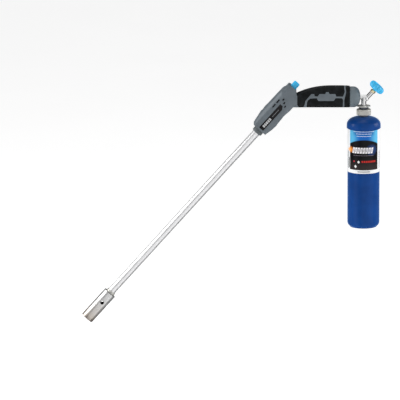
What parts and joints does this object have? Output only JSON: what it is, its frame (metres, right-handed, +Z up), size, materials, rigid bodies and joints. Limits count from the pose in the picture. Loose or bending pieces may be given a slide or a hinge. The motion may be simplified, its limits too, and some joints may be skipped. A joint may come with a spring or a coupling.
{
  "type": "propane torch",
  "caption": "Hand-held propane torch: angled steel lance with a burner bell, rubber-gripped housing with a push-button igniter, valve with a knob and a screw-on gas cylinder.",
  "frame": {"origin": "middle of the hand grip, on the plane where the two shells meet", "axes": "+X back along the grip to the gas cylinder, +Z up along the cylinder's axis, +Y across the grip"},
  "size_m": [0.6631, 0.0748, 0.543],
  "materials": {
    "housing": "fine textured grey plastic",
    "rubber": "matt black overmoulded rubber",
    "cap_plastic": "grey plastic",
    "black_plate": "gloss black",
    "polished_steel": "polished stainless tube",
    "bell_steel": "stainless, lightly heat tinted at the mouth",
    "plated": "bright chrome plate",
    "satin_nickel": "satin nickel plate, knurled",
    "brass": "turned brass",
    "copper": "drawn copper",
    "blue_plastic": "light blue moulded plastic",
    "tank_paint": "blue enamel",
    "label_print": "printed film",
    "ceramic": "glazed ceramic",
    "white_plastic": "natural plastic",
    "seal_rubber": "black rubber",
    "lead_silicone": "silicone sleeve",
    "zinc_steel": "zinc plated steel"
  },
  "bodies": {
    "root": {"left_shell": "housing", "right_shell": "housing", "left_upper_pad": "rubber", "right_upper_pad": "rubber", "left_lower_pad": "rubber", "right_lower_pad": "rubber", "rear_band": "rubber", "end_cap": "cap_plastic", "left_plate": "black_plate", "right_plate": "black_plate", "shell_screws": "zinc_steel", "left_vent_lining": "black_plate", "right_vent_lining": "black_plate", "nose_collar": "cap_plastic", "lance_clip": "zinc_steel", "lance_tube": "polished_steel", "lance_gas_pipe": "copper", "gas_union": "brass", "handle_gas_pipe": "copper", "pipe_nut": "brass", "lance_spacer": "ceramic", "burner_bush": "polished_steel", "bush_screws": "zinc_steel", "bell_back_plate": "bell_steel", "burner_bell": "bell_steel", "gas_jet": "brass", "jet_filter": "brass", "electrode_insulator": "ceramic", "spark_electrode": "zinc_steel", "ignition_lead": "lead_silicone", "lead_boot": "seal_rubber", "piezo_body": "white_plastic", "button_spring": "zinc_steel", "valve_body": "plated", "valve_seat": "white_plastic", "packing_nut": "brass", "stem_seal": "seal_rubber", "inlet_flange": "satin_nickel", "lock_nut": "satin_nickel", "inlet_stem": "brass", "inlet_seal": "seal_rubber", "depressor_pin": "zinc_steel"},
    "button": {"igniter_button": "blue_plastic", "piezo_plunger": "white_plastic"},
    "knob": {"valve_knob": "blue_plastic", "valve_stem": "brass", "knob_screw": "zinc_steel"},
    "coupling_nut": {"swivel_nut": "satin_nickel"},
    "gas_cylinder": {"cylinder_body": "tank_paint", "cylinder_dome": "tank_paint", "cylinder_neck": "brass", "cylinder_valve_core": "brass", "relief_valve": "plated", "cylinder_label": "label_print"}
  },
  "joints": [
    {"name": "igniter_press", "type": "slide", "parent": "root", "child": "button", "axis": [-0.6665, 0, -0.7455], "range_m": [0, 0.006], "stiffness_N_per_m": 1500, "springref_m": -0.002, "deforming": ["button_spring"]},
    {"name": "valve_turn", "type": "hinge", "parent": "root", "child": "knob", "pos_m": [0.0845, 0, -0.0092], "axis": [0.682, 0, 0.7314], "range_deg": [0, 540]},
    {"name": "nut_turn", "type": "hinge", "parent": "root", "child": "coupling_nut", "pos_m": [0.0845, 0, -0.0335], "axis": [0, 0, -1], "range_deg": [0, 1805]},
    {"name": "cylinder_unscrew", "type": "slide", "parent": "root", "child": "gas_cylinder", "axis": [0, 0, -1], "range_m": [0, 0.00635]}
  ],
  "couplings": [
    {"joint": "nut_turn", "follows": "cylinder_unscrew", "rad_per_m": 4947.4}
  ]
}
